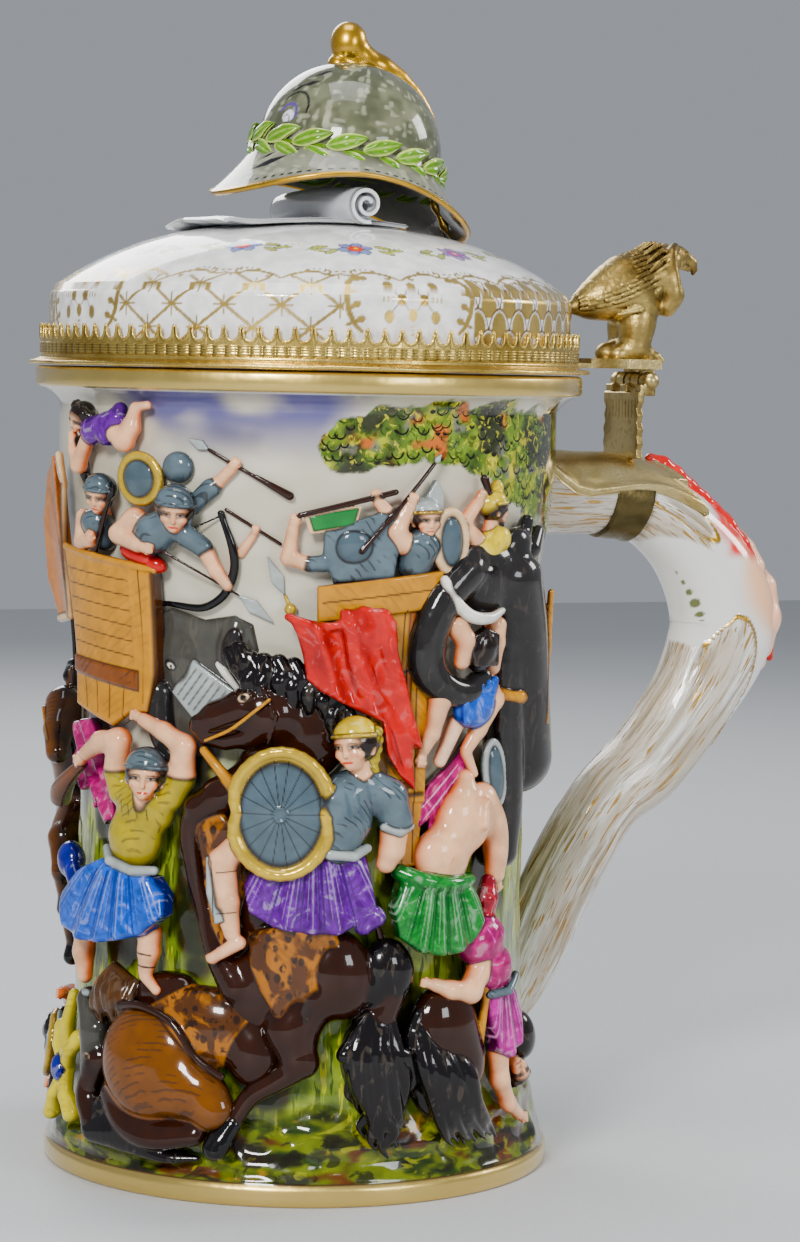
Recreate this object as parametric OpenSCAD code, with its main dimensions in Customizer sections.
// Lidded porcelain beer stein with a battle frieze in high relief.
// Millimetres. The origin is the centre of the foot, +Z is up, and the handle points along +X.

/* [Body] */
// Radius of the wall at its narrowest height
waist_r = 49; // [47:0.5:51]
// Thickness of the porcelain wall
wall = 4; // [3:0.5:4.5]
// Radius of the foot
foot_r = 56; // [54:0.5:58]
// Height of the gilded foot band
foot_band_h = 4.5; // [3.5:0.5:6]
// Radius of the rim
rim_r = 60.2; // [59:0.2:61]

/* [Lid] */
// Height of the porcelain lid above the metal flange
dome_h = 30; // [26:1:34]
// Number of scallops around the pierced gallery
gallery_scallops = 100; // [60:4:120]
// Thickness of the metal flange
flange_t = 1.6; // [1.2:0.2:2]

/* [Hinge] */
// Distance of the hinge axis from the mug's axis
hinge_x = 82; // [80:0.5:84]
// Width of the hinge across its knuckles
hinge_w = 16.6; // [14:0.2:18]
// Radius of the hinge pin
pin_r = 1.0; // [0.8:0.1:1.2]
// Running clearance of the lid's knuckles on the pin
pin_gap = 0.05; // [0.03:0.01:0.08]

/* [Finial] */
// Radius of the helmet's skull
skull_r = 20.5; // [18:0.5:22]
// Backward tilt of the helmet
helmet_tilt = 11; // [5:1:15]

/* [Hidden] */
$fn = 96;

// Heights up the mug
rim_z = 174;
floor_z = 7;
foot_recess = 2;
neck_z = 166;

// The wall swells to the foot and to the neck by these amounts
foot_swell = 6.5;
foot_fade = 14;
neck_swell = 5.8;
neck_low = 105;
neck_high = 160;

// Lid stack, from the rim upwards
seat_gap = 0.3;
flange_z = rim_z + seat_gap;
flange_r = 61.7;
collar_z = flange_z + flange_t;
collar_r = 59.2;
collar_t = 0.9;
collar_h = 3.3;
gallery_h = 3.7;
dome_z = collar_z + 0.6;
dome_r = 57.4;
dome_wall = 3.5;
crown_z = dome_z + dome_h - 0.5;
crown_drop = 15.3;
crown_power = 2.8;

// Hinge stack
hinge_z = 173.2;
knuckle_r = 2.1;
knuckle_gap = 0.3;
knuckle_n = 5;
knuckle_w = (hinge_w - (knuckle_n - 1) * knuckle_gap) / knuckle_n;
post_x = 79.3;
post_t = 1.6;
post_z = 156.6;
tang_t = 1.1;
tang_end = 84.4;

// Finial
roll_x = 3;
roll_r = 4.5;
roll_len = 42;
sheet_t = 1.2;
roll_z = crown_z + sheet_t + roll_r;
helmet_at = [7.3, 0, 221.5];
helmet_t = 1.8;
skull_h = 20;
brim_drop = 12;
brim_r = 29;
band_h = 4.5;

// The middle of the main battle scene lies at this angle from the handle
scene_az = -114;
// How deep every sprig is luted into the wall
sprig_root = 1.2;

// Handle stations, from the top joint to the bottom one: x, z, half depth, half width
HANDLE = [
    [51.5, 147.5, 9.2, 9], [62, 147, 8.8, 8.6], [74, 147, 8.8, 8.8], [86, 145.5, 9.2, 9.4],
    [97, 140, 10.5, 10.5], [104.5, 130, 12.3, 11.5], [107.2, 119, 13, 11.5], [105, 109.5, 12, 10.5],
    [98.5, 98, 10.2, 9.2], [88, 85, 9.6, 8.6], [78, 77, 8.6, 8.2], [70.5, 66.5, 8.6, 8],
    [64.5, 56, 8.6, 7.6], [59, 44, 8.2, 7], [54, 33, 6.5, 6], [51.5, 26, 4, 4.5],
];
// The saddle's leaf runs between these stations, and the strap crosses under the handle here
saddle_from = 0.55;
saddle_to = 4.1;
strap_from = 1.95;
strap_to = 2.75;

// ---------------------------------------------------------------- shared functions

function smooth(t) = let (c = max(0, min(1, t))) c * c * (3 - 2 * c);

// Outer radius of the wall at height z
function wall_r(z) = waist_r + foot_swell * exp(-(z - foot_band_h) / foot_fade)
    + neck_swell * smooth((z - neck_low) / (neck_high - neck_low));

// Height of the lid's outer surface at radius r
function crown(r) = crown_z - crown_drop * pow(r / dome_r, crown_power);

// A point of the frieze: degrees from the scene's middle, height, distance out from the wall
function frieze(p) = let (r = wall_r(p[1]) + p[2], a = scene_az + p[0]) [r * cos(a), r * sin(a), p[1]];

function spline(a, b, c, d, t) =
    0.5 * (2 * b + (c - a) * t + (2 * a - 5 * b + 4 * c - d) * t * t + (3 * b - a - 3 * c + d) * t * t * t);
function station(i) = HANDLE[max(0, min(len(HANDLE) - 1, i))];
function handle_at(s) =
    let (i = min(floor(s), len(HANDLE) - 2), t = s - i)
    [for (k = [0:3]) spline(station(i - 1)[k], station(i)[k], station(i + 1)[k], station(i + 2)[k], t)];
function handle_normal(s) =
    let (p = handle_at(max(0, s - 0.05)), q = handle_at(min(len(HANDLE) - 1, s + 0.05)),
         d = [q[0] - p[0], q[1] - p[1]])
    [-d[1], d[0]] / norm(d);
// A point on the handle's skin: station s, angle v around it (90 is its back), distance out
function handle_skin(s, v, out) =
    let (c = handle_at(s), n = handle_normal(s))
    [c[0] + n[0] * (c[2] + out) * sin(v), -(c[3] + out) * cos(v), c[1] + n[1] * (c[2] + out) * sin(v)];

// ---------------------------------------------------------------- shared modules

// A closed solid between two grids of points, the first one outside
module slab(outer, inner) {
    n = len(outer);
    m = len(outer[0]);
    points = [for (g = [outer, inner]) for (row = g) for (p = row) p];
    function at(g, i, j) = g * n * m + i * m + j;
    faces = concat(
        [for (i = [0:n - 2]) for (j = [0:m - 2]) [at(0, i, j), at(0, i + 1, j), at(0, i + 1, j + 1)]],
        [for (i = [0:n - 2]) for (j = [0:m - 2]) [at(0, i, j), at(0, i + 1, j + 1), at(0, i, j + 1)]],
        [for (i = [0:n - 2]) for (j = [0:m - 2]) [at(1, i, j), at(1, i + 1, j + 1), at(1, i + 1, j)]],
        [for (i = [0:n - 2]) for (j = [0:m - 2]) [at(1, i, j), at(1, i, j + 1), at(1, i + 1, j + 1)]],
        [for (i = [0:n - 2]) [at(0, i, 0), at(1, i, 0), at(1, i + 1, 0)]],
        [for (i = [0:n - 2]) [at(0, i, 0), at(1, i + 1, 0), at(0, i + 1, 0)]],
        [for (i = [0:n - 2]) [at(0, i, m - 1), at(1, i + 1, m - 1), at(1, i, m - 1)]],
        [for (i = [0:n - 2]) [at(0, i, m - 1), at(0, i + 1, m - 1), at(1, i + 1, m - 1)]],
        [for (j = [0:m - 2]) [at(0, 0, j), at(1, 0, j + 1), at(1, 0, j)]],
        [for (j = [0:m - 2]) [at(0, 0, j), at(0, 0, j + 1), at(1, 0, j + 1)]],
        [for (j = [0:m - 2]) [at(0, n - 1, j), at(1, n - 1, j), at(1, n - 1, j + 1)]],
        [for (j = [0:m - 2]) [at(0, n - 1, j), at(1, n - 1, j + 1), at(0, n - 1, j + 1)]]
    );
    polyhedron(points, faces);
}

// Everything inside the wall's skin, which trims the back of each sprig
module wall_core() {
    rotate_extrude($fn = 36)
        polygon(concat([[0, 2]], [for (z = [2:14:170]) [wall_r(z) - sprig_root, z]], [[0, 170]]));
}

// Sprigs are pressed in their own moulds, so each is one solid with a back that fits the wall
module sprig(c) color(c) difference() {
    union() children();
    wall_core();
}

module limb(p, q, rp, rq) hull() {
    translate(frieze(p)) sphere(rp, $fn = 6);
    translate(frieze(q)) sphere(rq, $fn = 6);
}

module bead(p, r) limb(p, p + [0.5, 0, 0], r, r);

module disc(p, r, t) hull() for (k = [0:60:300])
    translate(frieze(p + [r * cos(k) * 180 / (PI * waist_r), r * sin(k), 0])) sphere(t, $fn = 6);

// A man by his joints: hips, chest, head, two hands and two feet
module man(hips, chest, head, hands, feet) {
    limb(hips, chest, 4.6, 4.4);
    limb(chest, head, 2.2, 3.3);
    for (h = hands) limb(chest, h, 2, 1.6);
    for (f = feet) limb(hips, f, 3, 1.8);
}

// A horse by its rump, withers, head and hooves
module horse(rump, withers, head, hooves) {
    limb(rump, withers, 6.5, 5.6);
    limb(withers, head, 4.6, 3);
    for (k = [0:len(hooves) - 1]) limb(k % 2 == 0 ? rump : withers, hooves[k], 3, 1.8);
}

// An elephant seen from the side: body, head, trunk, ear and legs; d is the way it faces
module elephant(a, z, s, d) {
    limb([a - d * 14 * s, z, 0], [a + d * 8 * s, z + 2, 0], 11 * s, 11 * s);
    limb([a + d * 16 * s, z + 8 * s, 1], [a + d * 20 * s, z + 3 * s, 1], 7 * s, 5 * s);
    limb([a + d * 22 * s, z, 1], [a + d * 27 * s, z - 16 * s, 1], 3.4 * s, 2 * s);
    limb([a + d * 27 * s, z - 16 * s, 1], [a + d * 33 * s, z - 12 * s, 1], 2 * s, 1.4 * s);
    disc([a + d * 11 * s, z + 6 * s, 5 * s], 5 * s, 1.4);
    for (k = [-16, -6, 4]) limb([a + d * k * s, z - 6 * s, 0], [a + d * k * s, z - 22 * s, 0], 4.4 * s, 3.4 * s);
}

// A plank tower carried on an elephant's back
module howdah(a0, a1, z0, z1, out) color("goldenrod")
    rotate([0, 0, scene_az + a0])
        rotate_extrude(angle = a1 - a0)
            polygon(concat(
                [for (z = [z0:(z1 - z0) / 6:z1 + 0.01]) [wall_r(z) - sprig_root, z]],
                [for (z = [z1:-(z1 - z0) / 6:z0 - 0.01]) [wall_r(z) + out, z]]));

// ---------------------------------------------------------------- mug and handle

module mug_body() {
    lip_low = rim_z - 4;
    color("ivory") rotate_extrude() polygon(concat(
        [[0, foot_recess], [foot_r - 10, foot_recess], [foot_r - 9, 0], [foot_r, 0], [foot_r, foot_band_h]],
        [for (z = [foot_band_h + 0.5:6:neck_z]) [wall_r(z), z]],
        [[wall_r(neck_z), neck_z], [wall_r(neck_z) + 2.2, neck_z + 2], [rim_r - 0.4, lip_low],
         [rim_r, lip_low + 0.6], [rim_r, rim_z - 0.8], [rim_r - 0.8, rim_z], [rim_r - 3.4, rim_z]],
        [for (z = [neck_z:-8:floor_z + 6]) [wall_r(z) - wall, z]],
        [[wall_r(floor_z + 2) - wall - 4, floor_z], [0, floor_z]]));
}

module handle() color("linen") {
    steps = 2;
    sides = 18;
    last = (len(HANDLE) - 1) * steps;
    points = [for (i = [0:last]) for (k = [0:sides - 1]) handle_skin(i / steps, 360 * k / sides, 0)];
    faces = concat(
        [[for (k = [0:sides - 1]) k]],
        [for (i = [0:last - 1]) for (k = [0:sides - 1]) let (n = (k + 1) % sides)
            [i * sides + k, (i + 1) * sides + k, (i + 1) * sides + n]],
        [for (i = [0:last - 1]) for (k = [0:sides - 1]) let (n = (k + 1) % sides)
            [i * sides + k, (i + 1) * sides + n, i * sides + n]],
        [[for (k = [sides - 1:-1:0]) last * sides + k]]);
    polyhedron(points, faces);
}

// A plain mask in the outer bend: brow, nose, cheeks, lips and chin
module handle_mask() color("peachpuff") {
    for (side = [-1, 1]) hull() {
        translate(handle_skin(5.1, 90, -1.4) + [0, side * 3, 0]) sphere(2.6, $fn = 8);
        translate(handle_skin(5.3, 90 - side * 38, -1.2)) sphere(2.2, $fn = 8);
    }
    for (side = [-1, 1]) hull() {
        translate(handle_skin(5.9, 90 - side * 34, -1.6)) sphere(3, $fn = 8);
        translate(handle_skin(6.5, 90 - side * 16, -1.8)) sphere(2.6, $fn = 8);
    }
    hull() {
        translate(handle_skin(5.3, 90, -1)) sphere(1.6, $fn = 8);
        translate(handle_skin(5.95, 90, 0.2)) sphere(2, $fn = 8);
    }
    hull() for (side = [-1, 1])
        translate(handle_skin(6.3, 90 - side * 14, -0.6)) sphere(1.4, $fn = 8);
    hull() for (side = [-1, 1])
        translate(handle_skin(6.75, 90 - side * 9, -1.2)) sphere(2.2, $fn = 8);
    hull() {
        translate(handle_skin(6.4, 90, 0)) sphere(1, $fn = 8);
        translate(handle_skin(6.5, 90, 2)) sphere(0.9, $fn = 8);
    }
}

// The mask's locks of hair, running back along the handle to the saddle
module handle_crest() color("orangered")
    for (lock = [[3.0, 3.7, 96, 4.2], [3.3, 4.4, 84, 3], [3.7, 4.9, 104, 2.2], [3.9, 4.9, 76, 2.2],
                 [4.3, 5.0, 122, 1], [4.3, 5.0, 58, 1], [4.2, 5.1, 90, 1.6], [3.2, 3.9, 110, 2.4]])
        hull() {
            translate(handle_skin(lock[0], lock[2], lock[3] - 1.6)) sphere(1.5, $fn = 7);
            translate(handle_skin(lock[1], lock[2], -0.6)) sphere(1.9, $fn = 7);
        }

// ---------------------------------------------------------------- the battle frieze

module howdah_left() howdah(-70, -38, 97, 131, 4.2);

module tower_guards() sprig("slategray") {
    man([-62, 134, 2], [-60, 141, 2], [-57, 148, 3], [[-52, 136, 4], [-66, 148, 3]], [[-66, 133, 2]]);
    man([-61, 158, 2], [-54, 160, 3], [-51, 165, 3.5], [[-46, 166, 4], [-64, 154, 3]], [[-70, 157, 2]]);
    disc([-42, 151, 3], 4.5, 1.4);
    limb([-33, 152, 1], [-32, 156, 1], 3.2, 2.4);
}

module archer() sprig("lightsteelblue") {
    man([-35, 134, 2], [-30, 141, 2.5], [-32, 147, 3.5], [[-17, 138, 3], [-23, 141, 4]], [[-40, 134, 2]]);
    limb([-17, 147, 2], [-13, 140, 2.4], 0.9, 0.9);
    limb([-13, 140, 2.4], [-22, 129, 2], 0.9, 0.9);
}

module elephant_left() sprig("dimgray") {
    limb([-34, 104, -1], [-12, 106, -1], 7, 8);
    limb([-16, 114, 0], [-8, 108, 0], 6, 4);
    limb([-6, 106, 0], [-4, 98, 0], 2.4, 1.6);
    disc([-24, 114, 2], 5, 1.2);
    limb([-36, 118, -1], [-20, 121, -1], 3, 3);
    for (a = [-34, -27, -20]) limb([a, 104, -1], [a, 98, -1], 3.4, 3);
}

module javelins() sprig("saddlebrown") {
    limb([-27, 160, 2.4], [-15, 153.5, 2.4], 0.8, 0.8);
    limb([-15, 153.5, 2.4], [-3, 147.5, 2.4], 0.8, 0.8);
    limb([-19, 145, 2], [-6, 138, 2], 0.8, 0.8);
    limb([-34, 128, 1.6], [-9, 124, 1.6], 0.7, 0.7);
    limb([-9, 124, 1.6], [-11, 135, 1.6], 0.7, 0.7);
    limb([-26, 157, 2], [-34, 148, 1.5], 1.8, 2.2);
    limb([24, 137, 2], [33, 154, 2], 0.7, 0.7);
    limb([44, 137, 2], [50, 150, 2], 0.7, 0.7);
}

module howdah_right() howdah(3, 36, 98, 130, 3.8);

module banner_guards() sprig("cadetblue") {
    limb([6, 135, 2], [10, 141, 3], 4.6, 4.2);
    limb([10, 141, 3], [-4, 137, 2.4], 2, 1.8);
    limb([-4, 137, 2.4], [-3, 147, 2.4], 1.7, 1.5);
    limb([10, 141, 3], [21, 148, 2.4], 2, 1.5);
    hull() for (p = [[0, 144, 2], [0, 149, 2], [18, 149, 2], [18, 145, 2]])
        translate(frieze(p)) sphere(1.2, $fn = 6);
    man([30, 134, 2], [30, 140, 2.4], [30, 148, 3], [[25, 152, 3], [38, 140, 3]], [[26, 134, 2]]);
    disc([33, 139, 4.4], 4, 1.3);
    man([47, 136, 2], [48, 141, 2.4], [49, 149, 3], [[52, 152, 3], [42, 138, 3]], [[52, 135, 2]]);
}

module elephant_right() sprig("darkslategray") {
    limb([52, 104, 0], [62, 92, 0], 13, 12);
    limb([46, 124, 1], [56, 118, 1], 8, 9);
    limb([38, 118, 2], [37, 104, 3], 4, 3);
    limb([37, 104, 3], [44, 96, 4], 3, 2.2);
    limb([44, 130, 3], [50, 126, 3], 3, 3);
    limb([40, 122, 4], [46, 117, 5], 1.2, 0.9);
    disc([62, 118, 3], 8, 1.6);
    for (a = [56, 68]) limb([a, 92, 0], [a, 72, 0], 6, 5);
}

module falling_man() sprig("burlywood") {
    man([43, 103, 6], [45, 112, 6], [45, 120, 5.5], [[36, 106, 5], [52, 110, 5]], [[35, 92, 3], [51, 94, 5]]);
    limb([35, 92, 3], [34, 84, 2.4], 1.8, 1.4);
    limb([51, 94, 5], [48, 87, 4], 1.8, 1.4);
}

module red_flag() sprig("orangered") {
    for (k = [0:5]) limb([1 + 4.5 * k, 124 - 2 * k, 3 + k % 2], [4 + 4.6 * k, 108 - 3.4 * k, 3 + k % 2], 2, 2);
    limb([-7, 134, 2], [-2, 122, 2.5], 0.9, 0.9);
    limb([26, 112, 4], [29, 90, 3], 2.2, 1.8);
    limb([-2, 122, 2.5], [10, 92, 2.5], 0.9, 0.9);
}

module rider() sprig("rebeccapurple") {
    man([2, 70, 5], [11, 84, 5], [12, 97, 5], [[20, 80, 5], [2, 84, 6]], [[-12, 62, 5]]);
    limb([-12, 62, 5], [-16, 52, 5], 2.6, 1.8);
    limb([3, 70, 5], [10, 62, 5], 6, 5);
    disc([-2, 83, 6.4], 10, 1.5);
}

module war_horse() sprig("maroon") {
    horse([22, 46, 2], [-12, 76, 3], [-8, 104, 4], [[12, 20, 3], [-26, 74, 4], [22, 16, 3], [-24, 60, 3]]);
    limb([-8, 104, 4], [-25, 108, 4], 3.8, 2.2);
    limb([-10, 60, 3], [10, 50, 3], 8, 8);
    limb([26, 48, 3], [30, 22, 3], 4, 2.2);
    limb([-4, 108, 4], [6, 100, 4], 3, 2.4);
}

module axeman() sprig("royalblue") {
    man([-45, 68, 5], [-42, 82, 5], [-37, 93, 5.5], [[-60, 90, 4], [-30, 88, 4.5]], [[-60, 44, 3], [-31, 44, 4]]);
    limb([-60, 90, 4], [-40, 98, 4], 2, 1.8);
    limb([-30, 88, 4.5], [-38, 98, 4.5], 2, 1.8);
    limb([-66, 80, 2], [-48, 92, 3], 2.2, 1.2);
    limb([-56, 62, 4], [-33, 60, 4], 3.5, 3.5);
}

module fallen_horse() sprig("sienna") {
    horse([-42, 32, 3], [-16, 30, 3], [-60, 22, 3], [[-58, 40, 2], [-2, 20, 3], [-50, 18, 3], [4, 30, 3]]);
    limb([-42, 32, 3], [-60, 36, 3], 6, 4);
    limb([-16, 30, 3], [-6, 20, 3], 4, 2.2);
    limb([-26, 46, 2], [-12, 42, 2], 5, 5);
}

module captive() sprig("forestgreen") {
    man([33, 62, 5], [36, 76, 5], [43, 84, 4], [[46, 70, 4], [30, 88, 3]], [[26, 54, 3], [42, 56, 3]]);
    limb([28, 62, 4], [38, 60, 4], 6, 6);
    limb([50, 88, 2], [53, 92, 2], 3, 3);
}

module stooping_man() sprig("mediumvioletred") {
    man([60, 56, 4], [54, 54, 4.5], [48, 62, 3], [[28, 50, 3], [36, 46, 3]], [[58, 34, 4], [66, 36, 3]]);
    limb([58, 34, 4], [60, 16, 4], 4, 2.2);
    limb([66, 36, 3], [68, 20, 3], 3.4, 2);
}

module dark_horse() sprig("black") {
    horse([50, 26, 2], [40, 40, 2], [24, 44, 3], [[46, 14, 2], [34, 16, 2], [56, 18, 2], [40, 14, 2]]);
    limb([24, 44, 3], [24, 20, 3], 3.4, 2.6);
    limb([24, 20, 3], [30, 14, 3], 2.6, 2);
}

module flower() sprig("gold") {
    for (k = [0:60:300]) limb([-72, 20, 3], [-72 + 5 * cos(k), 20 + 5.5 * sin(k), 3.4], 1.4, 1.6);
    bead([-72, 20, 5], 1.6);
    limb([-72, 16, 2], [-70, 8, 1], 1.2, 1.6);
}

module elephant_rear() sprig("gray") elephant(168, 84, 1.3, -1);

module howdah_rear() howdah(160, 192, 102, 133, 4);

module rear_guards() sprig("steelblue") {
    man([166, 136, 2], [167, 143, 2.5], [166, 151, 3], [[158, 148, 3], [174, 140, 3]], [[163, 135, 2]]);
    man([184, 136, 2], [183, 143, 2.5], [184, 151, 3], [[192, 156, 3], [177, 141, 3]], [[187, 135, 2]]);
    disc([174, 140, 4], 4, 1.3);
    limb([190, 138, 2], [196, 162, 2], 0.8, 0.8);
}

module rear_horse() sprig("saddlebrown") {
    horse([222, 66, 3], [246, 74, 3], [260, 96, 4], [[216, 38, 3], [254, 50, 3], [226, 36, 3], [262, 62, 3]]);
    limb([260, 96, 4], [268, 90, 4], 3.4, 2.2);
    limb([216, 66, 3], [208, 44, 2], 3, 1.8);
}

module rear_rider() sprig("firebrick") {
    man([234, 82, 4], [235, 96, 5], [238, 109, 5], [[248, 104, 5], [226, 92, 5]], [[240, 62, 6]]);
    disc([226, 92, 6], 7, 1.4);
    limb([246, 92, 4], [258, 130, 3], 0.9, 0.9);
}

module rear_swordsman() sprig("seagreen") {
    man([140, 52, 4], [140, 68, 4.5], [142, 81, 4.5], [[152, 84, 4], [132, 62, 5]], [[134, 24, 3], [150, 26, 3]]);
    limb([152, 84, 4], [160, 98, 3], 1.2, 0.8);
    disc([131, 64, 5.4], 6, 1.4);
}

module rear_spearman() sprig("darkorchid") {
    man([196, 38, 4], [194, 54, 4.5], [192, 66, 4.5], [[206, 60, 4], [184, 52, 5]], [[188, 14, 3], [206, 16, 3]]);
    limb([206, 42, 3], [208, 92, 3], 0.9, 0.9);
    limb([196, 38, 4], [196, 30, 4], 5, 6);
}

module rear_fallen_man() sprig("tan") {
    man([232, 22, 4], [244, 21, 4], [254, 24, 4], [[248, 32, 3.4], [256, 14, 3.4]], [[216, 16, 3], [218, 28, 3]]);
    disc([264, 22, 3], 6, 1.4);
    limb([262, 12, 2], [276, 30, 2], 0.9, 0.9);
}

// ---------------------------------------------------------------- brass mount on the handle

// Half width of the saddle's leaf, in degrees around the handle, for t from 0 to 1 along it
function leaf_half(t) = 34 + 52 * sin(180 * pow(t, 0.8)) - (t > 0.86 ? 26 * (t - 0.86) / 0.14 : 0);

module handle_saddle() {
    n = 15;
    m = 11;
    function row(i, out) = [for (j = [0:m - 1]) let (t = i / (n - 1), s = saddle_from + (saddle_to - saddle_from) * t)
        handle_skin(s, 90 + leaf_half(t) * (2 * j / (m - 1) - 1), out)];
    color("peru") slab([for (i = [0:n - 1]) row(i, 1.3)], [for (i = [0:n - 1]) row(i, 0.2)]);
}

module handle_strap() {
    n = 4;
    m = 17;
    sweep = 118;
    function row(i, out) = [for (j = [0:m - 1])
        handle_skin(strap_from + (strap_to - strap_from) * i / (n - 1), 270 + sweep * (2 * j / (m - 1) - 1), out)];
    color("peru") slab([for (i = [0:n - 1]) row(i, 1.1)], [for (i = [0:n - 1]) row(i, 0.2)]);
}

// Knuckles first, first + 2, ... of the barrel, which runs along Y
module knuckles(first, r) for (i = [first:2:knuckle_n - 1])
    translate([hinge_x, -hinge_w / 2 + i * (knuckle_w + knuckle_gap), hinge_z])
        rotate([-90, 0, 0]) cylinder(r = r, h = knuckle_w);

module hinge_post() color("darkgoldenrod") difference() {
    union() {
        translate([post_x + post_t / 2, 0, 0]) rotate([90, 0, -90]) linear_extrude(post_t) difference() {
            translate([-hinge_w / 2, post_z]) square([hinge_w, hinge_z - knuckle_r - 0.6 - post_z]);
            for (side = [-1, 1]) translate([side * (hinge_w / 2 + 1.6), post_z + 9.2]) circle(r = 2.6);
        }
        knuckles(0, knuckle_r);
        for (i = [0:2:knuckle_n - 1])
            translate([post_x - post_t / 2, -hinge_w / 2 + i * (knuckle_w + knuckle_gap), hinge_z - knuckle_r - 1.4])
                cube([hinge_x - post_x + post_t / 2 + 1, knuckle_w, knuckle_r + 0.4]);
    }
    translate([hinge_x, -hinge_w, hinge_z]) rotate([-90, 0, 0]) cylinder(r = pin_r, h = 2 * hinge_w);
}

module hinge_pin() color("goldenrod")
    translate([hinge_x, -hinge_w / 2 - 0.3, hinge_z]) rotate([-90, 0, 0]) cylinder(r = pin_r, h = hinge_w + 0.6);

// ---------------------------------------------------------------- lid

module lid_dome() {
    shoulder = dome_r - 1;
    color("white") rotate_extrude() polygon(concat(
        [[dome_r, dome_z], [dome_r, crown(dome_r) - 1.6], [dome_r - 0.4, crown(dome_r) - 0.4]],
        [for (r = [shoulder:-5:1]) [r, crown(r)]],
        [[0, crown_z], [0, crown_z - dome_wall]],
        [for (r = [8:8:dome_r - dome_wall - 3]) [r, crown(r) - dome_wall]],
        [[dome_r - dome_wall, crown(dome_r) - dome_wall - 1], [dome_r - dome_wall, dome_z]]));
}

// Plaster bed between the porcelain and the metal
module lid_bedding() color("gainsboro") translate([0, 0, collar_z]) difference() {
    cylinder(r = collar_r - collar_t, h = dome_z - collar_z);
    translate([0, 0, -1]) cylinder(r = dome_r - dome_wall, h = dome_z - collar_z + 2);
}

module lid_flange() color("goldenrod") rotate_extrude()
    polygon([[dome_r - dome_wall - 2, flange_z], [flange_r - 0.8, flange_z], [flange_r, flange_z + 0.5],
             [flange_r - 0.3, flange_z + 1], [collar_r, collar_z], [dome_r - dome_wall - 2, collar_z]]);

// Milled collar with a scalloped edge, as one band that rises and falls around the lid
module lid_gallery() {
    n = 2 * gallery_scallops;
    function section(k) = let (top = collar_h + (k % 2 == 0 ? gallery_h : gallery_h * 0.55))
        [[collar_r, 0], [collar_r, top], [collar_r - collar_t, top], [collar_r - collar_t, 0]];
    function corner(k, j) = (k % n) * 4 + j % 4;
    color("gold") translate([0, 0, collar_z]) polyhedron(
        [for (k = [0:n - 1]) for (c = section(k)) [c[0] * cos(360 * k / n), c[0] * sin(360 * k / n), c[1]]],
        [for (k = [0:n - 1]) for (j = [0:3]) for (half = [0, 1])
            half == 0 ? [corner(k, j), corner(k, j + 1), corner(k + 1, j + 1)]
                      : [corner(k, j), corner(k + 1, j + 1), corner(k + 1, j)]]);
}

module lid_tang() color("goldenrod") difference() {
    union() {
        difference() {
            translate([collar_r - 0.4, -hinge_w / 2, collar_z]) cube([tang_end - collar_r + 0.4, hinge_w, tang_t]);
            translate([0, 0, collar_z - 1]) cylinder(r = collar_r, h = tang_t + 2);
        }
        knuckles(1, knuckle_r);
        for (i = [1:2:knuckle_n - 1])
            translate([hinge_x - 0.2, -hinge_w / 2 + i * (knuckle_w + knuckle_gap), hinge_z + 0.6])
                cube([tang_end - hinge_x + 0.2, knuckle_w, collar_z - hinge_z]);
    }
    translate([hinge_x, -hinge_w, hinge_z]) rotate([-90, 0, 0]) cylinder(r = pin_r + pin_gap, h = 2 * hinge_w);
}

module thumb_plate() color("gold") translate([66, -hinge_w / 2, collar_z + tang_t])
    cube([tang_end - 66, hinge_w, tang_t]);

module feather(p, q, rp, rq) hull() {
    translate(p) sphere(rp, $fn = 8);
    translate(q) sphere(rq, $fn = 8);
}

// Perched eagle: rock, legs, breast, neck, beak, folded wings and tail
module thumb_eagle() {
    base = collar_z + 2 * tang_t;
    color("darkgoldenrod") intersection() {
        union() {
            feather([73, 0, base + 1], [82, 0, base + 1], 3.6, 3.4);
            for (y = [-3, 3]) feather([79, y, 190], [78, y, base + 1.5], 2.8, 2);
            feather([78, 0, 194], [86, 0, 199], 6, 5);
            feather([86, 0, 199], [90.5, 0, 202.6], 4.4, 3.2);
            feather([92, 0, 202.6], [96, 0, 200.6], 1.9, 0.7);
            for (y = [-5.4, 5.4]) feather([84.5, y, 200], [87.5, y * 1.2, 192.5], 3.4, 1.5);
            for (y = [-4.6, 4.6]) feather([84, y, 199.5], [66, y * 0.6, 191.5], 3.2, 1.4);
            feather([76, 0, 194], [65, 0, 190], 4.2, 1.6);
        }
        translate([0, -20, base]) cube([120, 40, 40]);
    }
}

// ---------------------------------------------------------------- finial

// The free end of the parchment, lying on the crown with its front edge curling up
module parchment_sheet() {
    x0 = -34;
    x1 = 14;
    half = 20;
    n = 15;
    m = 9;
    function lift(t) = 4 * pow(max(0, 1 - t * 4), 2);
    function row(i, top) = [for (j = [0:m - 1])
        let (t = i / (n - 1), x = x0 + (x1 - x0) * t, y = half * (1 - 2 * j / (m - 1)))
        [x, y, crown(norm([x, y])) + lift(t) + (top ? sheet_t : 0)]];
    color("whitesmoke") slab([for (i = [0:n - 1]) row(i, true)], [for (i = [0:n - 1]) row(i, false)]);
}

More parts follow.
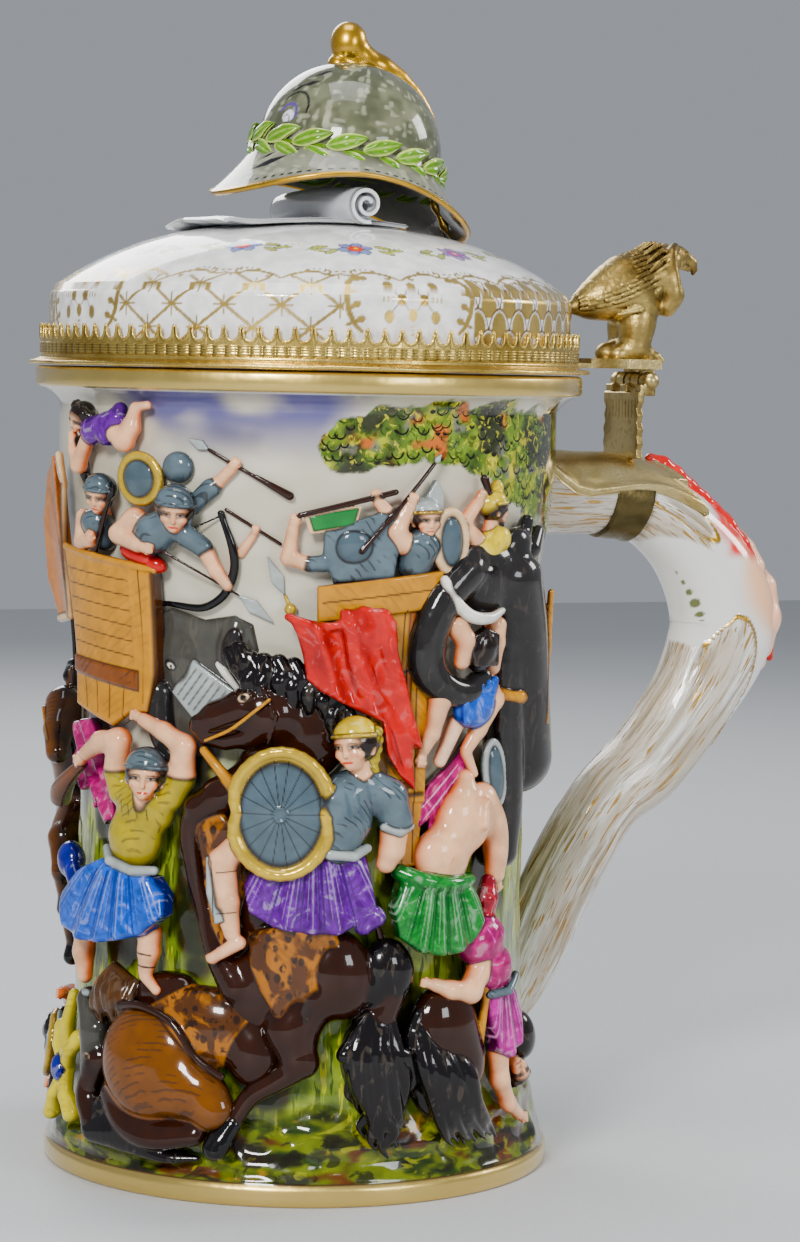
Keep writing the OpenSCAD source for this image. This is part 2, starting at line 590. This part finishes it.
module parchment_roll() color("white") translate([roll_x, -roll_len / 2, roll_z]) rotate([-90, 0, 0])
    difference() {
        cylinder(r = roll_r, h = roll_len);
        translate([0, 0, -1]) cylinder(r = roll_r * 0.4, h = roll_len + 2);
    }

module in_helmet() translate(helmet_at) rotate([0, helmet_tilt, 0]) children();

module helmet() {
    steps = 7;
    function skull(grow) = [for (k = [0:steps]) let (a = 90 * k / steps)
        [(skull_r + grow) * sin(a), (skull_h + grow) * cos(a)]];
    color("slategray") in_helmet() rotate_extrude() polygon(concat(
        skull(0),
        [[skull_r, -band_h], [skull_r + 3, -band_h - 3.2], [brim_r, -brim_drop], [brim_r - 0.9, -brim_drop - 0.9],
         [skull_r + 1.2, -band_h - 4], [skull_r - helmet_t, -band_h]],
        [for (k = [steps:-1:0]) skull(-helmet_t)[k]]));
}

module helmet_crest() {
    steps = 12;
    function arc(r, h) = [for (k = [0:steps]) let (a = -8 + 96 * k / steps) [r * sin(a), h * cos(a)]];
    color("gold") in_helmet() {
        rotate([90, 0, 0]) translate([0, 0, -1.5]) linear_extrude(3)
            polygon(concat(arc(skull_r + 3, skull_h + 4),
                           [for (k = [steps:-1:0]) arc(skull_r - 0.4, skull_h - 0.4)[k]]));
        translate([-2, 0, skull_h + 5]) sphere(3.9);
    }
}

module laurel_wreath() color("yellowgreen") in_helmet() rotate_extrude()
    polygon([[skull_r, -band_h], [skull_r + 1.6, -band_h + 0.4], [skull_r + 2.3, -band_h / 2],
             [skull_r + 1.6, -0.4], [skull_r, 0]]);

mug_body();
handle();
handle_mask();
handle_crest();
howdah_left();
tower_guards();
archer();
elephant_left();
javelins();
howdah_right();
banner_guards();
elephant_right();
falling_man();
red_flag();
rider();
war_horse();
axeman();
fallen_horse();
captive();
stooping_man();
dark_horse();
flower();
elephant_rear();
howdah_rear();
rear_guards();
rear_rider();
rear_horse();
rear_swordsman();
rear_spearman();
rear_fallen_man();
handle_saddle();
handle_strap();
hinge_post();
hinge_pin();
lid_dome();
lid_bedding();
lid_flange();
lid_gallery();
lid_tang();
thumb_plate();
thumb_eagle();
parchment_sheet();
parchment_roll();
helmet();
helmet_crest();
laurel_wreath();
